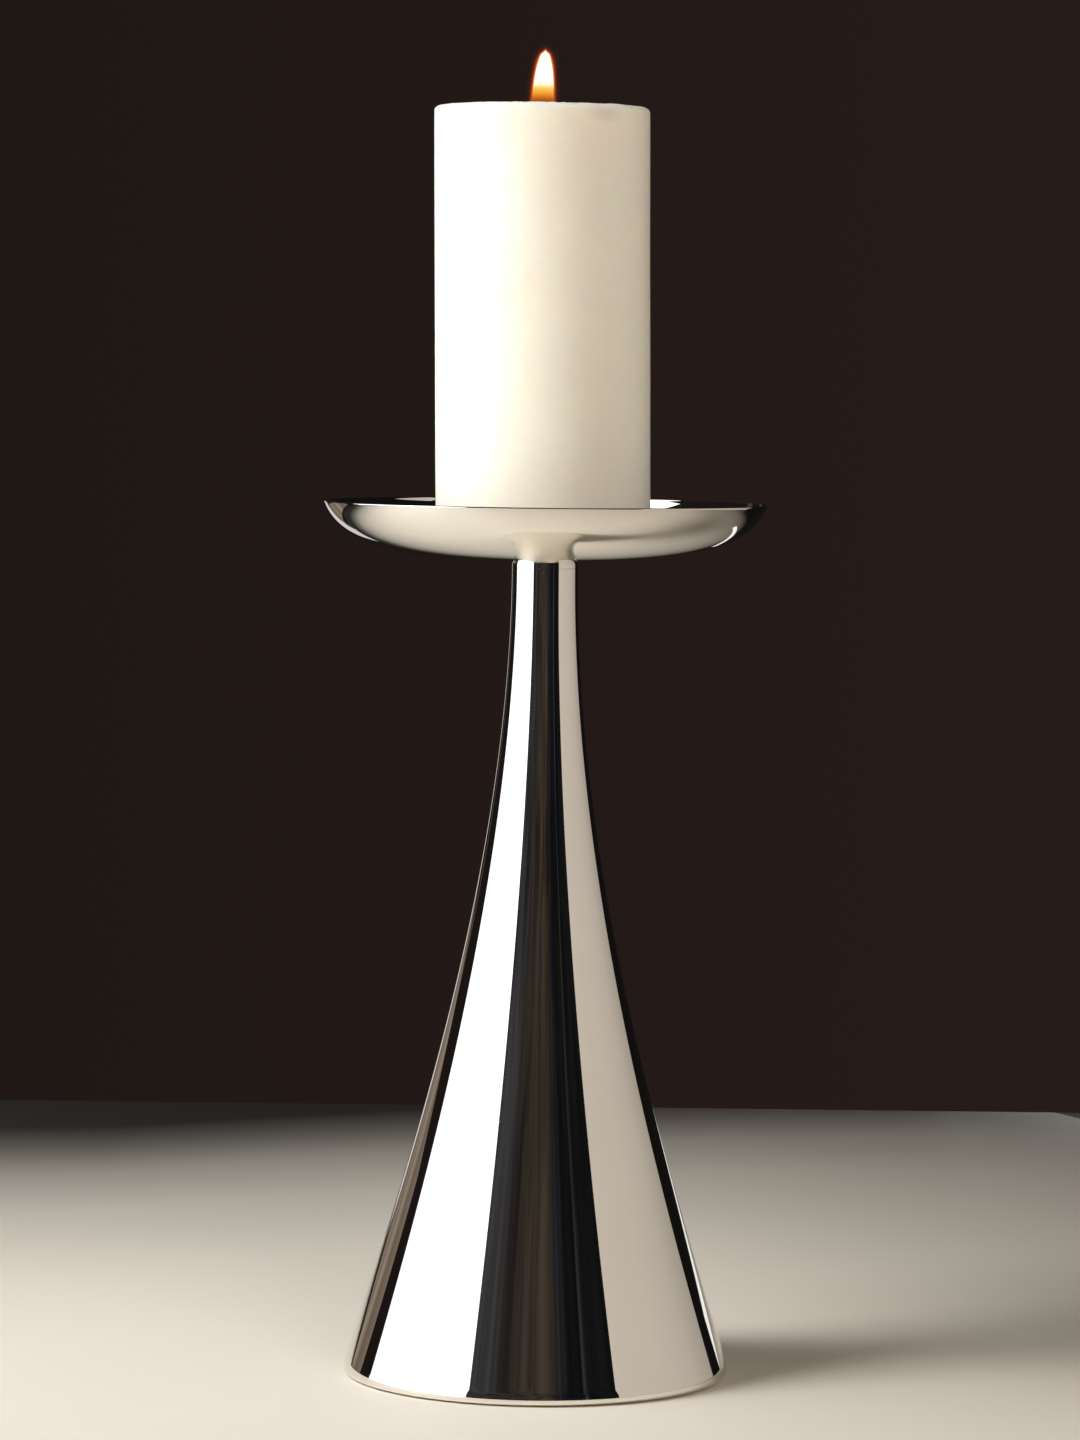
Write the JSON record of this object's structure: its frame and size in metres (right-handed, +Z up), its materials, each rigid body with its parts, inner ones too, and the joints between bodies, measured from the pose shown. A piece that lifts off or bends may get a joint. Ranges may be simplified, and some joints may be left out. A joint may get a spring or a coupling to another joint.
{
  "type": "pillar candle holder",
  "caption": "Tall flared metal candle holder with a shallow dish on a slender neck, a spike and a lift-off pillar candle.",
  "frame": {"origin": "centre of the felt's underside, on the axis of the stem", "axes": "+Z up along the stem's axis; the part is round, so +X and +Y are any two directions across it"},
  "size_m": [0.1572, 0.1572, 0.4565],
  "materials": {
    "plated_metal": "mirror-polished nickel plate",
    "bush_brass": "turned",
    "zinc_steel": "bright zinc",
    "weight_iron": "as cast, painted",
    "cover_enamel": "black enamel",
    "felt": "pressed felt",
    "wax": "smooth moulded wax",
    "wick_cotton": "braided cotton, charred at the top"
  },
  "bodies": {
    "stand": {"flared_stem": "plated_metal", "dish": "plated_metal", "dish_collar": "plated_metal", "neck_bush": "bush_brass", "pricket": "plated_metal", "tie_rod": "zinc_steel", "ballast_weight": "weight_iron", "flat_washer": "zinc_steel", "lock_washer": "zinc_steel", "hex_nut": "zinc_steel", "base_cover": "cover_enamel", "felt_pad": "felt"},
    "candle": {"candle_wax": "wax", "candle_wick": "wick_cotton"}
  },
  "joints": [
    {"name": "candle_lift", "type": "slide", "parent": "stand", "child": "candle", "axis": [0, 0, 1], "range_m": [0, 0.06]}
  ]
}
